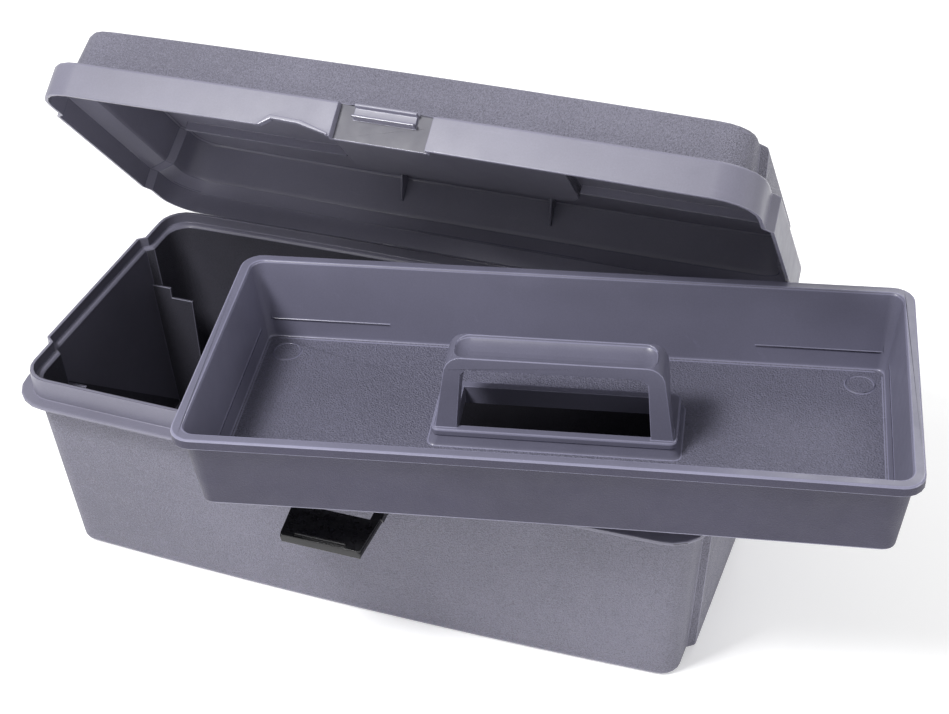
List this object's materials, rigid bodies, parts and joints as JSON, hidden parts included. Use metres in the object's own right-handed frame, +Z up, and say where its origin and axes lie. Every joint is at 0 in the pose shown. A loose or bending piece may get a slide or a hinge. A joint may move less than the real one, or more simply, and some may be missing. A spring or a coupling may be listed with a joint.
{
  "type": "tool box",
  "caption": "Moulded plastic tool box: tapered tub, hinged dome lid held by a front latch, folding carry handle, and a lift-out tray with an arched grip.",
  "frame": {"origin": "centre of the base's flat underside", "axes": "+X along the length to the right, +Y from the latch to the hinge, +Z up"},
  "size_m": [0.6268, 0.3687, 0.3578],
  "materials": {
    "grey_plastic": "pebble-grained polypropylene, smooth on the skirt and collar",
    "tray_plastic": "smooth walls, coarse-grained floor",
    "black_plastic": "glossy black",
    "steel": "bright drawn wire"
  },
  "bodies": {
    "base": {"base_shell": "grey_plastic", "hinge_pin": "steel", "latch_pin": "steel"},
    "lid": {"lid_shell": "grey_plastic", "handle_pin_left": "steel", "handle_pin_right": "steel"},
    "tray": {"tray": "tray_plastic"},
    "latch": {"latch": "black_plastic"},
    "carry_handle": {"carry_handle": "black_plastic"}
  },
  "joints": [
    {"name": "lid_hinge", "type": "hinge", "parent": "base", "child": "lid", "pos_m": [0, 0.1291, 0.1348], "axis": [-1, 0, 0], "range_deg": [0, 54]},
    {"name": "latch_hinge", "type": "hinge", "parent": "base", "child": "latch", "pos_m": [0.0045, -0.1185, 0.1245], "axis": [1, 0, 0], "range_deg": [-61.5, 0]},
    {"name": "tray_lift", "type": "slide", "parent": "base", "child": "tray", "axis": [0, -0.7001, 0.7141], "range_m": [0, 0.25]},
    {"name": "handle_hinge", "type": "hinge", "parent": "lid", "child": "carry_handle", "pos_m": [0, 0.10739, 0.25276], "axis": [-1, 0, 0], "range_deg": [0, 95]}
  ]
}
